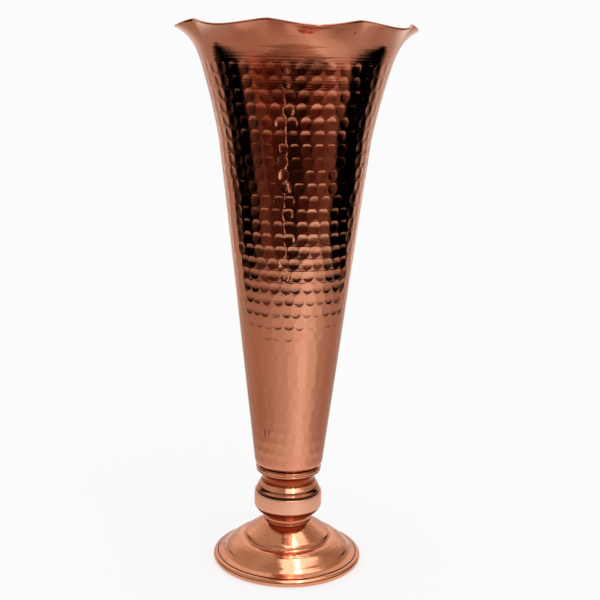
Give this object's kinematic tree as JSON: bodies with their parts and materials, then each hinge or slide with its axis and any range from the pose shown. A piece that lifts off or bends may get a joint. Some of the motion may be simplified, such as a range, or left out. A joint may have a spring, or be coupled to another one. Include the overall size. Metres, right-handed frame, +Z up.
{
  "type": "footed flower vase",
  "caption": "Tall hammered copper flower vase: flared body with a wavy lip on a turned stem with a knop and a spun bell foot.",
  "frame": {"origin": "on the vase's axis at the level that the foot rests on", "axes": "+Z up along the axis; -Y is the side that faces the viewer"},
  "size_m": [0.1276, 0.1276, 0.3],
  "materials": {
    "hammered_copper": "hammered copper sheet, polished",
    "turned_copper": "spun and turned copper, polished, with fine turning lines",
    "matt_copper": "brushed copper, satin",
    "steel": "zinc plated",
    "seal_rubber": "matt black"
  },
  "bodies": {
    "root": {"body_shell": "hammered_copper", "collar_ring": "turned_copper", "upper_neck": "turned_copper", "knop_shoulder": "turned_copper", "knop_band": "matt_copper", "lower_neck": "turned_copper", "foot_shell": "turned_copper", "foot_rim": "turned_copper", "foot_wire": "steel", "tie_rod": "steel", "seal_washer": "seal_rubber", "top_washer": "steel", "top_nut": "steel", "foot_washer": "steel", "foot_nut": "steel"}
  },
  "joints": []
}
